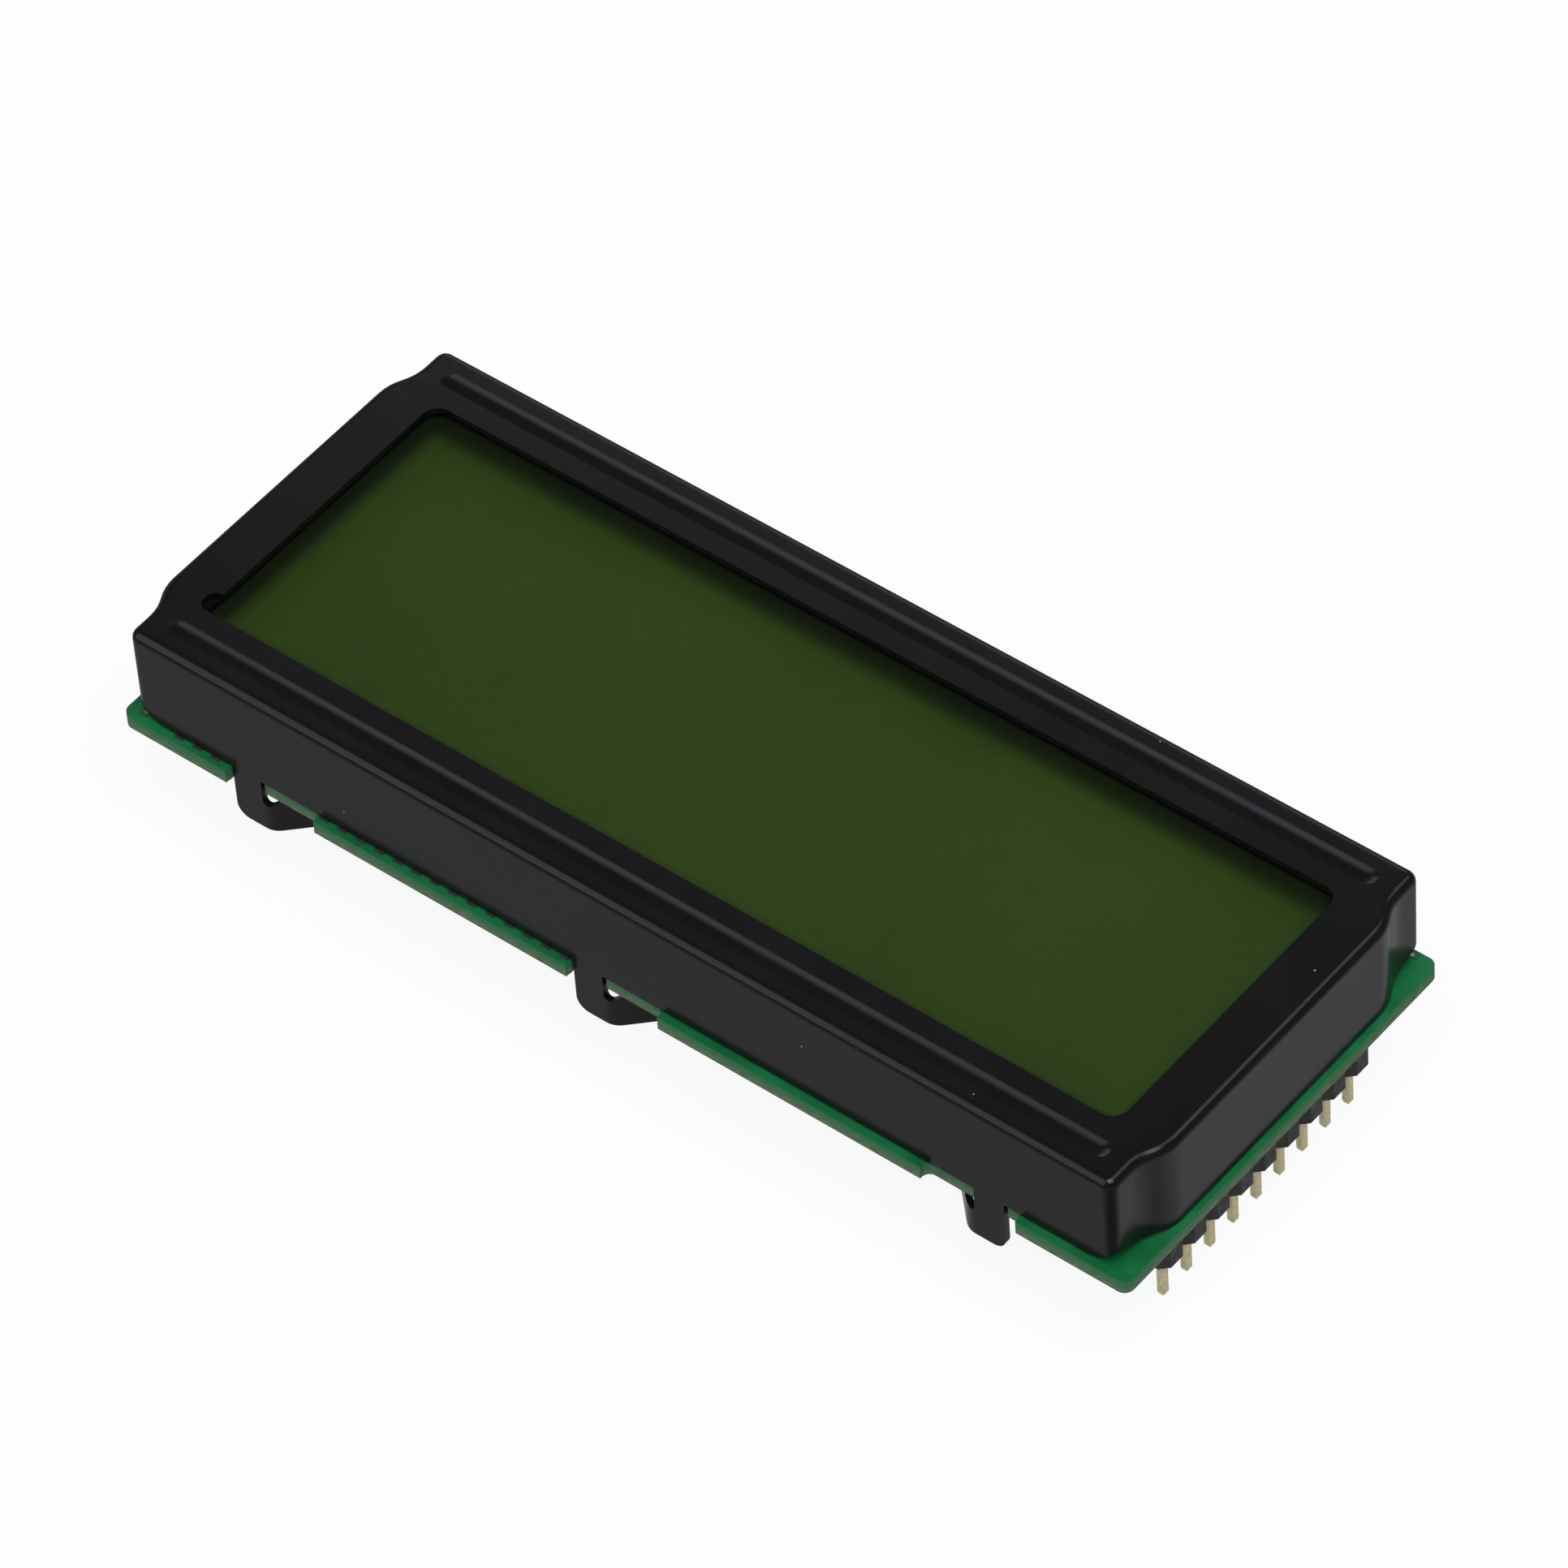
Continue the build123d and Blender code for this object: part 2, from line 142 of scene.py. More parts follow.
# Satin black baking enamel on pressed steel: nearly black, with soft edges to its reflections, the
# faint peel of sprayed paint and a few grains of dust
paint = {"black": "100d0e", "ior": 1.36, "roughness": (0.19, 0.25), "patch": 6.0, "patchRange": (0.3, 0.7),
         "peel": 0.5, "peelDepth": 0.0012, "dust": "8a8984", "dustApart": 3.2, "dustRadius": 0.07,
         "dustCore": 0.049}


def satinBlackEnamel():
    finish, tree, place = startMaterial("satinBlackEnamel")
    patches = addNode(tree, "ShaderNodeTexNoise", {"Vector": place, "Scale": perMm(paint["patch"])})
    roughness = addNode(tree, "ShaderNodeMapRange", {
        "Value": patches, "From Min": paint["patchRange"][0], "From Max": paint["patchRange"][1],
        "To Min": paint["roughness"][0], "To Max": paint["roughness"][1]})
    cells = addNode(tree, "ShaderNodeTexVoronoi", {"Vector": place, "Scale": perMm(paint["dustApart"])})
    dust = addNode(tree, "ShaderNodeMapRange", {
        "Value": cells, "From Min": paint["dustRadius"] / paint["dustApart"],
        "From Max": paint["dustCore"] / paint["dustApart"]})
    colour = addNode(tree, "ShaderNodeMix", {0: dust, 6: fromHex(paint["black"]), 7: fromHex(paint["dust"])},
                     take=2, data_type="RGBA")
    peel = addNode(tree, "ShaderNodeTexNoise", {"Vector": place, "Scale": perMm(paint["peel"])})
    bump = addNode(tree, "ShaderNodeBump", {"Height": peel, "Distance": mm(paint["peelDepth"])})
    surface = addNode(tree, "ShaderNodeBsdfPrincipled", {
        "Base Color": colour, "IOR": paint["ior"], "Roughness": roughness, "Normal": bump})
    addNode(tree, "ShaderNodeOutputMaterial", {"Surface": surface}, take=None)
    return finish


# Green solder mask over copper on both faces, rippled and fairly glossy. On the underside the copper
# tracks show through it a shade lighter, drawn wider apart than real ones so that they show.
board = {"mask": "187240", "maskDeep": "115f33", "patch": 2.2, "ior": 1.38, "maskRoughness": 0.3,
         "ripple": 0.4, "rippleDepth": 0.004, "track": "2a8a52", "trackPitch": 5.027, "trackBend": 2.2,
         "trackBendSize": 0.6, "trackEdge": (0.62, 0.72), "trackDepth": 0.02, "underside": (-0.4, -0.6),
         "field": 5.0, "fieldEdge": (0.44, 0.5)}

# Its sawn edges show the glass-fibre laminate, dull and olive, with a painted green glow under the top,
# standing in for light that comes in through the mask
sawn = {"light": "5f7558", "dark": "485b42", "fibre": 0.16, "fibreStretch": 4, "roughness": 0.75,
        "glow": "2a6a3f", "glowHeights": (6.95, 7.45)}


def copperTracks(tree, place):
    tracks = addNode(tree, "ShaderNodeTexWave", {
        "Vector": place, "Scale": perBand(board["trackPitch"]), "Distortion": board["trackBend"],
        "Detail": 0.0, "Detail Scale": board["trackBendSize"]}, take="Fac", bands_direction="Y")
    tracks = addNode(tree, "ShaderNodeMapRange", {
        "Value": tracks, "From Min": board["trackEdge"][0], "From Max": board["trackEdge"][1]})
    normal = addNode(tree, "ShaderNodeNewGeometry", take="True Normal")
    height = addNode(tree, "ShaderNodeSeparateXYZ", {"Vector": normal}, take="Z")
    under = addNode(tree, "ShaderNodeMapRange", {
        "Value": height, "From Min": board["underside"][0], "From Max": board["underside"][1]})
    field = addNode(tree, "ShaderNodeTexNoise", {
        "Vector": place, "Scale": perMm(board["field"]), "Detail": 0.0})
    field = addNode(tree, "ShaderNodeMapRange", {
        "Value": field, "From Min": board["fieldEdge"][0], "From Max": board["fieldEdge"][1]})
    for factor in (under, field):
        tracks = addNode(tree, "ShaderNodeMath", {0: tracks, 1: factor}, operation="MULTIPLY")
    return tracks


def sawnLaminate(tree, place):
    layered = addNode(tree, "ShaderNodeMapping", {
        "Vector": place, "Scale": (1 / sawn["fibreStretch"], 1 / sawn["fibreStretch"], 1)})
    cut = mottled(tree, layered, sawn["fibre"], sawn["light"], sawn["dark"], grainDetail)[0]
    # Painted glow: a green band under the top face, standing in for light coming in through the mask
    height = addNode(tree, "ShaderNodeSeparateXYZ", {"Vector": place}, take="Z")
    glow = addNode(tree, "ShaderNodeMapRange", {
        "Value": height, "From Min": mm(sawn["glowHeights"][0]), "From Max": mm(sawn["glowHeights"][1])})
    return addNode(tree, "ShaderNodeMix", {0: glow, 6: cut, 7: fromHex(sawn["glow"])}, take=2,
                   data_type="RGBA")


def solderMask():
    finish, tree, place = startMaterial("greenSolderMask")
    flat = flatness(tree)
    tracks = copperTracks(tree, place)
    mask = mottled(tree, place, board["patch"], board["mask"], board["maskDeep"])[0]
    mask = addNode(tree, "ShaderNodeMix", {0: tracks, 6: mask, 7: fromHex(board["track"])}, take=2,
                   data_type="RGBA")
    colour = addNode(tree, "ShaderNodeMix", {0: flat, 6: sawnLaminate(tree, place), 7: mask}, take=2,
                     data_type="RGBA")
    roughness = addNode(tree, "ShaderNodeMapRange", {
        "Value": flat, "To Min": sawn["roughness"], "To Max": board["maskRoughness"]})
    ripple = addNode(tree, "ShaderNodeTexNoise", {"Vector": place, "Scale": perMm(board["ripple"])})
    bump = addNode(tree, "ShaderNodeBump", {"Height": ripple, "Distance": mm(board["rippleDepth"])})
    bump = addNode(tree, "ShaderNodeBump", {
        "Height": tracks, "Distance": mm(board["trackDepth"]), "Normal": bump})
    surface = addNode(tree, "ShaderNodeBsdfPrincipled", {
        "Base Color": colour, "IOR": board["ior"], "Roughness": roughness, "Normal": bump})
    addNode(tree, "ShaderNodeOutputMaterial", {"Surface": surface}, take=None)
    return finish


# Simple moulded, rubber, resin, ceramic and metal finishes share one recipe: two close shades
# mottled at a real grain size, with a bump of the same grain
plain = {
    # Moulded glass-filled nylon: dark grey, dull and faintly uneven
    "blackNylon": {
        "light": "2b282b", "dark": "1f1d20", "grain": 0.5, "depth": 0.006, "roughness": (0.42, 0.6)},
    # Moulded polycarbonate: clean white with a soft even sheen
    "whitePolycarbonate": {
        "light": "e6e5df", "dark": "dcdbd4", "grain": 1.5, "depth": 0.002, "roughness": (0.35, 0.5)},
    # Cut foam rubber: black and quite dull
    "foamRubber": {
        "light": "0c0b0b", "dark": "070706", "grain": 0.15, "depth": 0.01, "roughness": (0.8, 0.95),
        "ior": 1.15},
    # Printed carbon ink: dull greenish black
    "carbonInk": {
        "light": "2b3026", "dark": "22271e", "grain": 0.12, "depth": 0.004, "roughness": (0.5, 0.7)},
    # Poured epoxy: black and glossy, gently uneven
    "blackEpoxy": {
        "light": "121214", "dark": "0b0b0d", "grain": 1.2, "depth": 0.01, "roughness": (0.18, 0.32)},
    # Glaze fired on ceramic: black, smooth and fairly glossy
    "blackGlaze": {
        "light": "17171a", "dark": "101012", "grain": 0.3, "depth": 0.003, "roughness": (0.2, 0.35)},
    # Bare fired ceramic: tan, dull and fine-grained
    "tanCeramic": {
        "light": "8f6f4c", "dark": "7c5f40", "grain": 0.2, "depth": 0.004, "roughness": (0.55, 0.7)},
    # Cast resin of the lamps: pale yellow-green and glossy
    "lampResin": {
        "light": "d8dd7a", "dark": "cdd26e", "grain": 0.6, "depth": 0.002, "roughness": (0.2, 0.3)},
    # Cured drop of clear resin: straw-coloured and glossy
    "clearResin": {
        "light": "d9cfa0", "dark": "cbbf8e", "grain": 0.8, "depth": 0.002, "roughness": (0.12, 0.2)},
    # Frosted plastic sheet: off-white and evenly dull
    "frostedSheet": {
        "light": "e9ebe2", "dark": "e0e3d8", "grain": 0.1, "depth": 0.002, "roughness": (0.5, 0.65)},
    # Thin gold plate on drawn brass: pale gold with a soft shine
    "palegoldPlate": {
        "light": "ebdfb4", "dark": "d6c998", "grain": 0.25, "depth": 0.004, "roughness": (0.24, 0.4),
        "metallic": 0.55},
    # Dipped tin plate, a little yellowed: soft uneven shine
    "tinPlate": {
        "light": "cfc6a6", "dark": "b0a688", "grain": 0.15, "depth": 0.006, "roughness": (0.3, 0.48),
        "metallic": 1.0},
    # Solder that has flowed and set: bright and smooth
    "brightSolder": {
        "light": "d6d6d8", "dark": "b4b4b8", "grain": 0.3, "depth": 0.006, "roughness": (0.16, 0.3),
        "metallic": 1.0},
}


def plainFinish(name):
    look = plain[name]
    finish, tree, place = startMaterial(name)
    colour, grain = mottled(tree, place, look["grain"], look["light"], look["dark"], grainDetail)
    roughness = addNode(tree, "ShaderNodeMapRange", {
        "Value": grain, "From Min": noiseRange[0], "From Max": noiseRange[1],
        "To Min": look["roughness"][0], "To Max": look["roughness"][1]})
    bump = addNode(tree, "ShaderNodeBump", {"Height": grain, "Distance": mm(look["depth"])})
    surface = addNode(tree, "ShaderNodeBsdfPrincipled", {
        "Base Color": colour, "Metallic": look.get("metallic", 0.0), "IOR": look.get("ior", 1.5),
        "Roughness": roughness, "Normal": bump})
    addNode(tree, "ShaderNodeOutputMaterial", {"Surface": surface}, take=None)
    return finish


# Corner pads: tin plate that the green mask covers, up to a small bare spot on two opposite corners
cornerPad = {"mask": "0b5a2e", "metal": "cfc6a6", "roughness": 0.4, "bareSpot": (32.45, 12.8, 7.65),
             "bareReach": (0.1, 0.14)}


def maskedPad():
    finish, tree, place = startMaterial("maskedPad")
    centred, folded = fromMiddle(tree, place)
    away = addNode(tree, "ShaderNodeVectorMath", {0: folded, 1: [mm(v) for v in cornerPad["bareSpot"]]},
                   take="Value", operation="DISTANCE")
    bare = addNode(tree, "ShaderNodeMapRange", {
        "Value": away, "From Min": mm(cornerPad["bareReach"][0]), "From Max": mm(cornerPad["bareReach"][1]),
        "To Min": 1.0, "To Max": 0.0})
    sides = addNode(tree, "ShaderNodeSeparateXYZ", {"Vector": centred}, take=None).outputs
    diagonal = addNode(tree, "ShaderNodeMath", {0: sides["X"], 1: sides["Y"]}, operation="MULTIPLY")
    shown = addNode(tree, "ShaderNodeMath", {0: diagonal, 1: 0.0}, operation="GREATER_THAN")
    bare = addNode(tree, "ShaderNodeMath", {0: bare, 1: shown}, operation="MULTIPLY")
    colour = addNode(tree, "ShaderNodeMix", {
        0: bare, 6: fromHex(cornerPad["mask"]), 7: fromHex(cornerPad["metal"])}, take=2, data_type="RGBA")
    surface = addNode(tree, "ShaderNodeBsdfPrincipled", {
        "Base Color": colour, "Metallic": bare, "Roughness": cornerPad["roughness"]})
    addNode(tree, "ShaderNodeOutputMaterial", {"Surface": surface}, take=None)
    return finish


# Contact strip: dark carbon layers stacked along a pale silicone rubber bar, drawn coarser than real
# ones so that they show. Its pressed top and bottom faces are dark all over.
strip = {"pale": "8f9190", "dark": "26262a", "pressed": "080906", "layerPitch": 1.257, "bend": 0.3,
         "layerEdge": (0.4, 0.6), "roughness": 0.6}


def layeredRubber():
    finish, tree, place = startMaterial("layeredRubber")
    bands = addNode(tree, "ShaderNodeTexWave", {
        "Vector": place, "Scale": perBand(strip["layerPitch"]), "Distortion": strip["bend"]}, take="Fac",
        bands_direction="X")
    share = addNode(tree, "ShaderNodeMapRange", {
        "Value": bands, "From Min": strip["layerEdge"][0], "From Max": strip["layerEdge"][1]})
    colour = addNode(tree, "ShaderNodeMix", {0: share, 6: fromHex(strip["pale"]), 7: fromHex(strip["dark"])},
                     take=2, data_type="RGBA")
    colour = addNode(tree, "ShaderNodeMix", {0: flatness(tree), 6: colour, 7: fromHex(strip["pressed"])},
                     take=2, data_type="RGBA")
    surface = addNode(tree, "ShaderNodeBsdfPrincipled", {
        "Base Color": colour, "Roughness": strip["roughness"]})
    addNode(tree, "ShaderNodeOutputMaterial", {"Surface": surface}, take=None)
    return finish


# See-through layers of the display: the film tints and dulls, with dark cut edges, the front glass
# hardly shows inside the window and outside it is painted dark and opaque as painted shade, and the
# rear glass carries the yellow-green of the film glued under it. All three carry painted shade towards
# the window's edges, standing in for the rim keeping the light off: from the first to the second
# distance from the bezel's middle, at the ends and at the sides. The rear film is a plain dull
# yellow-green, and the acrylic of the light guide clear and glossy.
layers = {
    "mattFilm": {
        "light": "1d2c0e", "dark": "1a280d", "ior": 1.36, "alpha": 0.26, "roughness": (0.36, 0.44),
        "grain": 0.12, "patch": 9.0, "edge": "0c0e0a",
        "shade": {"colour": "15130d", "ends": (29.7, 31.0), "sides": (8.6, 9.9), "alpha": 0.92}},
    "cellGlass": {
        "light": "33463a", "dark": "2f4236", "alpha": 0.03, "roughness": (0.03, 0.06), "grain": 2.0,
        "patch": 12.0,
        "shade": {"colour": "080906", "ends": (30.7, 31.0), "sides": (9.9, 10.2), "alpha": 1.0}},
    "backedGlass": {
        "light": "48620f", "dark": "425c10", "ior": 1.36, "alpha": 1.0, "roughness": (0.4, 0.5),
        "grain": 0.2, "patch": 14.0,
        "shade": {"colour": "0b0d07", "ends": (29.7, 31.0), "sides": (8.7, 10.1)}},
    "rearFilm": {
        "light": "66852e", "dark": "5f7f2d", "alpha": 1.0, "roughness": (0.55, 0.65), "grain": 0.2,
        "patch": 14.0},
    "clearAcrylic": {
        "light": "a9b89f", "dark": "9fb096", "alpha": 0.25, "roughness": (0.08, 0.14), "grain": 1.0,
        "patch": 8.0},
}


# Share of painted shade: 1 outside the window, 0 well inside it
def windowShade(tree, place, shade):
    folded = fromMiddle(tree, place)[1]
    reach = addNode(tree, "ShaderNodeSeparateXYZ", {"Vector": folded}, take=None).outputs
    ends = addNode(tree, "ShaderNodeMapRange", {
        "Value": reach["X"], "From Min": mm(shade["ends"][0]), "From Max": mm(shade["ends"][1])})
    sides = addNode(tree, "ShaderNodeMapRange", {
        "Value": reach["Y"], "From Min": mm(shade["sides"][0]), "From Max": mm(shade["sides"][1])})
    return addNode(tree, "ShaderNodeMath", {0: ends, 1: sides}, operation="MAXIMUM")


def layerFinish(name):
    look = layers[name]
    finish, tree, place = startMaterial(name)
    colour = mottled(tree, place, look["patch"], look["light"], look["dark"])[0]
    alpha = look["alpha"]
    # Painted shade towards the window's edges: the colour turns to the shade colour, and a see-through layer
    # turns opaque
    if "shade" in look:
        shaded = windowShade(tree, place, look["shade"])
        colour = addNode(tree, "ShaderNodeMix", {0: shaded, 6: colour, 7: fromHex(look["shade"]["colour"])},
                         take=2, data_type="RGBA")
        if alpha < 1:
            alpha = addNode(tree, "ShaderNodeMapRange", {
                "Value": shaded, "To Min": alpha, "To Max": look["shade"]["alpha"]})
    if "edge" in look:
        flat = flatness(tree)
        colour = addNode(tree, "ShaderNodeMix", {0: flat, 6: fromHex(look["edge"]), 7: colour}, take=2,
                         data_type="RGBA")
        alpha = addNode(tree, "ShaderNodeMapRange", {"Value": flat, "To Min": 1.0, "To Max": alpha})
    grain = addNode(tree, "ShaderNodeTexNoise", {
        "Vector": place, "Scale": perMm(look["grain"]), "Detail": grainDetail})
    roughness = addNode(tree, "ShaderNodeMapRange", {
        "Value": grain, "From Min": noiseRange[0], "From Max": noiseRange[1],
        "To Min": look["roughness"][0], "To Max": look["roughness"][1]})
    surface = addNode(tree, "ShaderNodeBsdfPrincipled", {
        "Base Color": colour, "Roughness": roughness, "Alpha": alpha, "IOR": look.get("ior", 1.5)})
    addNode(tree, "ShaderNodeOutputMaterial", {"Surface": surface}, take=None)
    return finish


dressing = {
    plainFinish("blackNylon"): ["header_left", "header_right"],
    plainFinish("whitePolycarbonate"): ["backlight_frame", "led_carrier_left", "led_carrier_right"],
    plainFinish("foamRubber"): ["bezel_gasket"],
    plainFinish("carbonInk"): ["contact_pads_front", "contact_pads_back"],
    plainFinish("blackEpoxy"): ["controller_coat_left", "controller_coat_right"],
    plainFinish("blackGlaze"): ["chip_resistors"],
    plainFinish("tanCeramic"): ["chip_capacitors"],
    plainFinish("lampResin"): ["leds_left", "leds_right"],
    plainFinish("clearResin"): ["fill_port_seal"],
    plainFinish("frostedSheet"): ["diffuser_sheet", "reflector_sheet"],
    plainFinish("palegoldPlate"): [name for name in nodes if name.startswith("pin_")],
    maskedPad(): ["corner_pads"],
    plainFinish("tinPlate"): ["chip_terminals"],
    plainFinish("brightSolder"): ["solder_left", "solder_right"],
    layeredRubber(): ["zebra_strip_front", "zebra_strip_back"],
    layerFinish("mattFilm"): ["front_polariser"],
    layerFinish("cellGlass"): ["front_glass"],
    layerFinish("backedGlass"): ["rear_glass"],
    layerFinish("rearFilm"): ["rear_polariser"],
    layerFinish("clearAcrylic"): ["light_guide"],
    solderMask(): ["pcb"],
}
for finish, names in dressing.items():
    for name in names:
        nodes[name].data.materials.clear()
        nodes[name].data.materials.append(finish)
print("stage: materials on", sum(len(names) for names in dressing.values()), "nodes")

# The bezel keeps the frame's own form, joined up so that its bends shade smoothly, while the outline
# of each shallow pressed bead stays crisp against the flat rim. A bead's outline is where a flat face
# meets one whose normal's height lies in the bead's range.
bezel = {"merge": 0.0005, "sharpAngle": 32, "flatFrom": 0.9995, "beadSlope": (0.86, 0.965)}


def markBeads(mesh):
    slopes = {}
    for face in mesh.polygons:
        for key in face.edge_keys:
            slopes.setdefault(key, []).append(face.normal.z)
    marked = 0
    low, high = bezel["beadSlope"]
    for edge in mesh.edges:
        pair = sorted(slopes.get(edge.key, []))
        if len(pair) == 2 and pair[1] > bezel["flatFrom"] and low < pair[0] < high:
            edge.use_edge_sharp = True
            marked += 1
    print("bead outline:", marked, "edges")


def smoothCopy(nodeName, pieceName, finish):
    piece = nodes[nodeName].copy()
    piece.data = nodes[nodeName].data.copy()
    piece.name = piece.data.name = pieceName
    piece.parent = None
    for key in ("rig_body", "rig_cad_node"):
        if key in piece:
            del piece[key]
    bpy.context.collection.objects.link(piece)
    bpy.ops.object.select_all(action="DESELECT")
    piece.select_set(True)
    bpy.context.view_layer.objects.active = piece
    bpy.ops.object.mode_set(mode="EDIT")
    bpy.ops.mesh.select_all(action="SELECT")
    bpy.ops.mesh.remove_doubles(threshold=mm(bezel["merge"]))
    bpy.ops.object.mode_set(mode="OBJECT")
    if piece.data.has_custom_normals:
        bpy.ops.mesh.customdata_custom_splitnormals_clear()
    bpy.ops.object.shade_smooth_by_angle(angle=math.radians(bezel["sharpAngle"]))
    markBeads(piece.data)
    weighted = piece.modifiers.new("evenShading", "WEIGHTED_NORMAL")
    weighted.keep_sharp = True
    bpy.ops.object.modifier_apply(modifier=weighted.name)
    piece.data.materials.clear()
    piece.data.materials.append(finish)
    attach(piece, "root")
    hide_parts(nodeName)


smoothCopy("bezel", "bezel_skin", satinBlackEnamel())
print("stage: bezel")

# Camera where the photo was taken from: angles in degrees, distances in millimetres, the lens for a
# 36 mm sensor. It turns about the bezel's middle at the pivot's height, and aim is how far that lies
# from the picture's middle.
shot = {"azimuth": 41.72, "elevation": 47.41, "roll": -4.35, "distance": 526.6, "lens": 229.2,
        "sensor": 36, "aim": (-0.692, -3.133), "pivotHeight": 6.7, "nearest": 10, "farthest": 10000}


def placeCamera():
    a, e, roll = (math.radians(shot[key]) for key in ("azimuth", "elevation", "roll"))
    back = Vector((math.sin(a) * math.cos(e), -math.cos(a) * math.cos(e), math.sin(e)))
    level = Vector((math.cos(a), math.sin(a), 0))
    over = back.cross(level)
    right = level * math.cos(roll) + over * math.sin(roll)
    up = over * math.cos(roll) - level * math.sin(roll)
    offset = right * mm(shot["aim"][0]) + up * mm(shot["aim"][1])
    pivot = Vector(bezelMiddle) + Vector((0, 0, mm(shot["pivotHeight"])))
    stand = pivot + back * mm(shot["distance"]) - offset
    bpy.ops.object.camera_add()
    camera = bpy.context.active_object
    camera.name = "photoCamera"
    camera.matrix_world = Matrix.Translation(stand) @ Matrix((right, up, back)).transposed().to_4x4()
    camera.data.lens = shot["lens"]
    camera.data.sensor_width = shot["sensor"]
    camera.data.clip_start = mm(shot["nearest"])
    camera.data.clip_end = mm(shot["farthest"])
    bpy.context.scene.camera = camera


# Pale floor: white to the camera, with the object's shadow still on it. What the gloss of the object
# mirrors is the same floor with painted light on it: fading with distance, brighter past the right end,
# and with one dark patch of painted shade beyond the front right corner, standing in for a place that
# nothing lights. Lengths in millimetres.
ground = {"size": 6000, "shade": "ededed", "whiteShare": 0.92, "mirrored": (0.4, 0.54),
          "brightFrom": (30, 45), "fade": (45, 120), "far": 0.3, "patch": (42, -21, 0), "patchReach": (6, 13),
          "patchLevel": 0.3}


# Painted light of the floor as the gloss mirrors it, with its dark patch of painted shade
def mirroredLevel(tree, place):
    right = addNode(tree, "ShaderNodeSeparateXYZ", {"Vector": place}, take="X")
    level = addNode(tree, "ShaderNodeMapRange", {
        "Value": right, "From Min": mm(ground["brightFrom"][0]), "From Max": mm(ground["brightFrom"][1]),
        "To Min": ground["mirrored"][0], "To Max": ground["mirrored"][1]})
    away = addNode(tree, "ShaderNodeVectorMath", {0: place}, take="Value", operation="LENGTH")
    fade = addNode(tree, "ShaderNodeMapRange", {
        "Value": away, "From Min": mm(ground["fade"][0]), "From Max": mm(ground["fade"][1]),
        "To Min": 1.0, "To Max": ground["far"]})
    near = addNode(tree, "ShaderNodeVectorMath", {0: place, 1: [mm(v) for v in ground["patch"]]},
                   take="Value", operation="DISTANCE")
    patch = addNode(tree, "ShaderNodeMapRange", {
        "Value": near, "From Min": mm(ground["patchReach"][0]), "From Max": mm(ground["patchReach"][1]),
        "To Min": ground["patchLevel"], "To Max": 1.0})
    for factor in (fade, patch):
        level = addNode(tree, "ShaderNodeMath", {0: level, 1: factor}, operation="MULTIPLY")
    return level


def placeFloor():
    bpy.ops.mesh.primitive_plane_add(size=mm(ground["size"]))
    floor = bpy.context.active_object
    floor.name = "studioFloor"
    finish, tree, place = startMaterial("paleFloor")
    path = addNode(tree, "ShaderNodeLightPath", take=None).outputs
    seen = addNode(tree, "ShaderNodeMath", {0: path["Is Camera Ray"], 1: path["Is Transmission Ray"]},
                   operation="ADD", use_clamp=True)
    share = addNode(tree, "ShaderNodeMath", {0: seen, 1: ground["whiteShare"]}, operation="MULTIPLY")
    lit = addNode(tree, "ShaderNodeBsdfDiffuse", {"Color": fromHex(ground["shade"])})
    white = addNode(tree, "ShaderNodeEmission", {"Color": (1, 1, 1, 1), "Strength": 1.0})
    mirrored = addNode(tree, "ShaderNodeEmission", {
        "Color": (1, 1, 1, 1), "Strength": mirroredLevel(tree, place)})
    mixed = addNode(tree, "ShaderNodeMixShader", {0: share, 1: lit, 2: white})
    mixed = addNode(tree, "ShaderNodeMixShader", {0: path["Is Glossy Ray"], 1: mixed, 2: mirrored})
    addNode(tree, "ShaderNodeOutputMaterial", {"Surface": mixed}, take=None)
    floor.data.materials.append(finish)


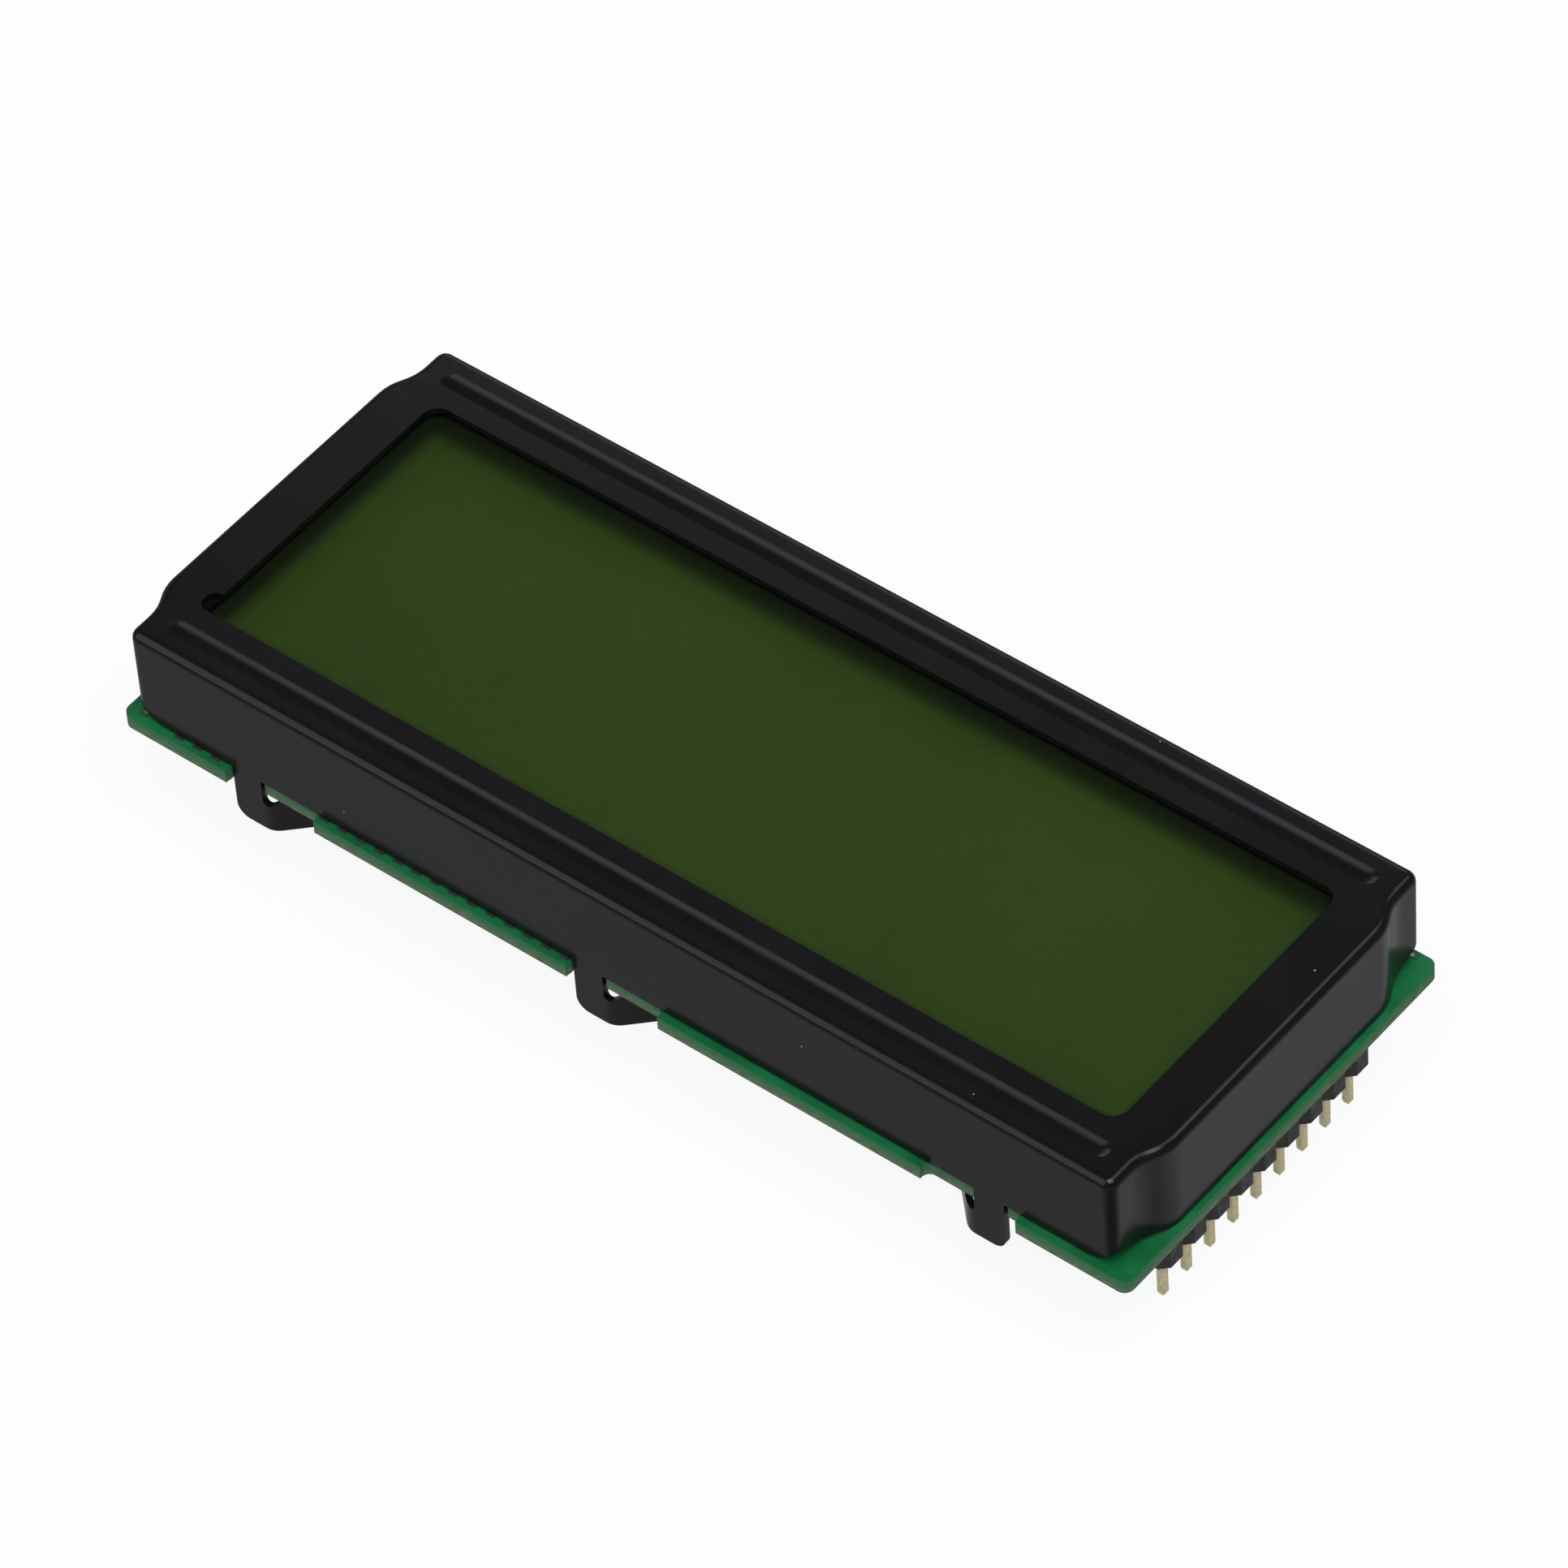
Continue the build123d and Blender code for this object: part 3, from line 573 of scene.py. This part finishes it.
# Soft light: one panel high in front on the right that the rim doesn't mirror, one behind on the right
# that draws the line on the right end's bend, a low wide one in front on the left for the front bend,
# and a low one behind on the left for the beads. Angles in degrees, distances in metres, power in watts.
lamps = {
    "keyPanel": {"azimuth": 62, "elevation": 66, "distance": 0.7, "size": 0.5, "power": 4.2,
                 "tint": (0.9, 0.95, 1)},
    "backPanel": {"azimuth": 149, "elevation": 56, "distance": 0.8, "size": 0.36, "power": 0.75,
                  "tint": (0.9, 0.95, 1)},
    "frontPanel": {"azimuth": -35, "elevation": 33, "distance": 0.8, "size": 0.78, "power": 2.7,
                   "tint": (0.86, 0.93, 1)},
    "beadPanel": {"azimuth": -148, "elevation": 31, "distance": 0.8, "size": 0.38, "power": 0.42,
                  "tint": (0.78, 0.88, 1)},
}

# The room is white to the camera. What lights the object is brighter low down than overhead.
room = {"horizon": 0.2, "overhead": 0.11, "brightBelow": 0.30, "dimAbove": 0.5}


def placeLamps():
    for name, lamp in lamps.items():
        a, e = math.radians(lamp["azimuth"]), math.radians(lamp["elevation"])
        out = Vector((math.sin(a) * math.cos(e), -math.cos(a) * math.cos(e), math.sin(e)))
        bpy.ops.object.light_add(type="AREA", location=out * lamp["distance"],
                                 rotation=out.to_track_quat("Z", "Y").to_euler())
        light = bpy.context.active_object
        light.name = name
        light.data.size = lamp["size"]
        light.data.energy = lamp["power"]
        light.data.color = lamp["tint"]


def placeRoom():
    world = bpy.data.worlds.new("studioRoom")
    world.use_nodes = True
    tree = world.node_tree
    tree.nodes.clear()
    direction = addNode(tree, "ShaderNodeTexCoord", take="Generated")
    height = addNode(tree, "ShaderNodeSeparateXYZ", {"Vector": direction}, take="Z")
    level = addNode(tree, "ShaderNodeMapRange", {
        "Value": height, "From Min": room["brightBelow"], "From Max": room["dimAbove"],
        "To Min": room["horizon"], "To Max": room["overhead"]})
    seen = addNode(tree, "ShaderNodeLightPath", take="Is Camera Ray")
    dim = addNode(tree, "ShaderNodeBackground", {"Color": (1, 1, 1, 1), "Strength": level})
    white = addNode(tree, "ShaderNodeBackground", {"Color": (1, 1, 1, 1), "Strength": 1.0})
    mixed = addNode(tree, "ShaderNodeMixShader", {0: seen, 1: dim, 2: white})
    addNode(tree, "ShaderNodeOutputWorld", {"Surface": mixed}, take=None)
    bpy.context.scene.world = world


placeCamera()
placeFloor()
placeLamps()
placeRoom()
bpy.context.scene.view_settings.view_transform = "Standard"
print("stage: camera, floor and light")
